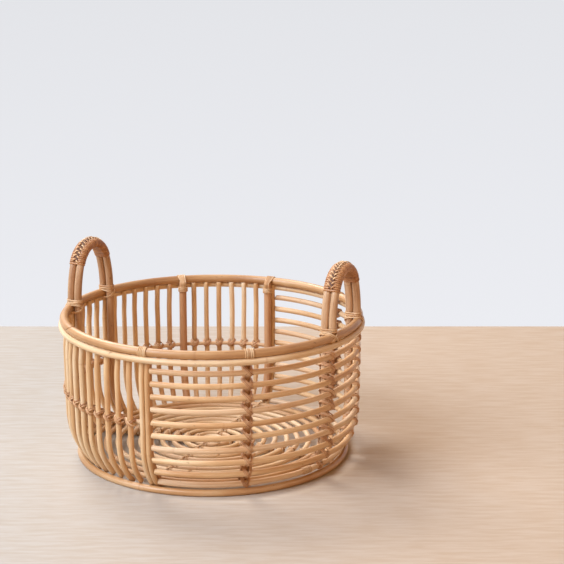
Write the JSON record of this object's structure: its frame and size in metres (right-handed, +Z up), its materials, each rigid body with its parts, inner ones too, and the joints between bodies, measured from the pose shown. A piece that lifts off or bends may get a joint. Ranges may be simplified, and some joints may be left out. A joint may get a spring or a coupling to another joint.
{
  "type": "woven basket",
  "caption": "Low round rattan basket with an open wall, half upright canes and half level rails, and two bow handles.",
  "frame": {"origin": "middle of the foot hoop, on the surface that the basket stands on", "axes": "+Z up; X runs through the two handles, with the level rails on the +X side and the upright canes on the -X side; Y runs through the two corner posts"},
  "size_m": [0.4457, 0.4492, 0.3018],
  "materials": {
    "hoop_cane": "satin peeled rattan with darker nodes",
    "handle_cane": "satin peeled rattan with darker nodes",
    "post_cane": "satin peeled rattan",
    "upright_cane": "satin peeled rattan, part of it dull",
    "rail_cane": "satin peeled rattan, part of it dull",
    "floor_cane": "satin peeled rattan",
    "binding_strip": "satin split rattan skin"
  },
  "bodies": {
    "root": {"bay_uprights_1": "upright_cane", "bay_uprights_2": "upright_cane", "bay_uprights_3": "upright_cane", "bay_uprights_4": "upright_cane", "corner_post_1": "post_cane", "corner_post_2": "post_cane", "corner_uprights_1": "upright_cane", "corner_uprights_2": "upright_cane", "floor_coil": "floor_cane", "floor_lashings": "binding_strip", "floor_rib_left": "floor_cane", "floor_rib_long": "floor_cane", "floor_rib_right": "floor_cane", "floor_ring_01": "floor_cane", "floor_ring_02": "floor_cane", "floor_ring_03": "floor_cane", "floor_ring_04": "floor_cane", "floor_ring_05": "floor_cane", "floor_ring_06": "floor_cane", "floor_ring_07": "floor_cane", "floor_ring_08": "floor_cane", "floor_ring_09": "floor_cane", "floor_ring_10": "floor_cane", "foot_hoop": "hoop_cane", "grip_wrap_left": "binding_strip", "grip_wrap_right": "binding_strip", "handle_left_inner": "handle_cane", "handle_left_outer": "handle_cane", "handle_right_inner": "handle_cane", "handle_right_outer": "handle_cane", "leg_collars": "binding_strip", "rail_01": "rail_cane", "rail_02": "rail_cane", "rail_03": "rail_cane", "rail_04": "rail_cane", "rail_05": "rail_cane", "rail_06": "rail_cane", "rail_07": "rail_cane", "rail_08": "rail_cane", "rail_09": "rail_cane", "rail_10": "rail_cane", "rail_lashings_1": "binding_strip", "rail_lashings_2": "binding_strip", "rail_lashings_3": "binding_strip", "rail_lashings_4": "binding_strip", "rail_splice": "binding_strip", "rim_hoop": "hoop_cane", "rim_wraps": "binding_strip", "stay_hoop_1": "hoop_cane", "stay_hoop_2": "hoop_cane", "stay_hoop_3": "hoop_cane", "stay_hoop_4": "hoop_cane", "stay_lashings": "binding_strip", "under_hoop": "hoop_cane", "wall_post_1": "post_cane", "wall_post_2": "post_cane", "wall_post_3": "post_cane"}
  },
  "joints": []
}
